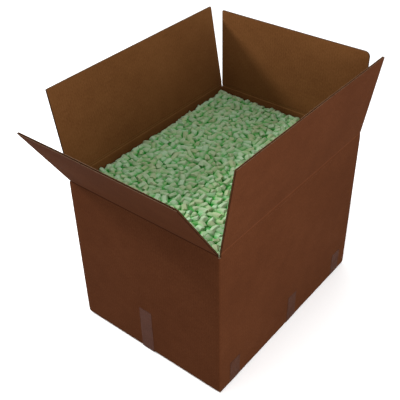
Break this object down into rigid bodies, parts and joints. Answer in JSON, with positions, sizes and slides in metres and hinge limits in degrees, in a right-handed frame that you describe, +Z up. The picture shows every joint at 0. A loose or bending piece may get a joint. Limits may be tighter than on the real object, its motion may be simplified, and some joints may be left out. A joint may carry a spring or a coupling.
{
  "type": "open carton of packing peanuts",
  "caption": "Open corrugated shipping carton with hinged top flaps and a taped bottom, filled with loose pale green foam packing peanuts.",
  "frame": {"origin": "centre of the carton's footprint, on the surface that it stands on", "axes": "+X along the carton's long side towards its right wall, +Y towards its back wall, +Z up"},
  "size_m": [0.7317, 0.5303, 0.683],
  "materials": {
    "kraft_board": "matte brown kraft corrugated board",
    "clear_tape": "clear film, slightly wrinkled",
    "green_foam": "matte pale green foam"
  },
  "bodies": {
    "carton": {"carton_body": "kraft_board", "tape_cross_left": "clear_tape", "tape_cross_middle": "clear_tape", "tape_cross_right": "clear_tape", "tape_seam": "clear_tape", "loose_fill": "green_foam"},
    "front_flap": {"flap_front": "kraft_board"},
    "back_flap": {"flap_back": "kraft_board"},
    "left_flap": {"flap_left": "kraft_board"},
    "right_flap": {"flap_right": "kraft_board"}
  },
  "joints": [
    {"name": "front_crease", "type": "hinge", "parent": "carton", "child": "front_flap", "pos_m": [0, -0.2285, 0.457], "axis": [-1, 0, 0], "range_deg": [-166, 98.9]},
    {"name": "back_crease", "type": "hinge", "parent": "carton", "child": "back_flap", "pos_m": [0, 0.2285, 0.457], "axis": [1, 0, 0], "range_deg": [-165.3, 99.6]},
    {"name": "left_crease", "type": "hinge", "parent": "carton", "child": "left_flap", "pos_m": [-0.305, 0, 0.4522], "axis": [0, 1, 0], "range_deg": [-142.8, 122.1]},
    {"name": "right_crease", "type": "hinge", "parent": "carton", "child": "right_flap", "pos_m": [0.305, 0, 0.4522], "axis": [0, -1, 0], "range_deg": [-174.9, 90]}
  ]
}
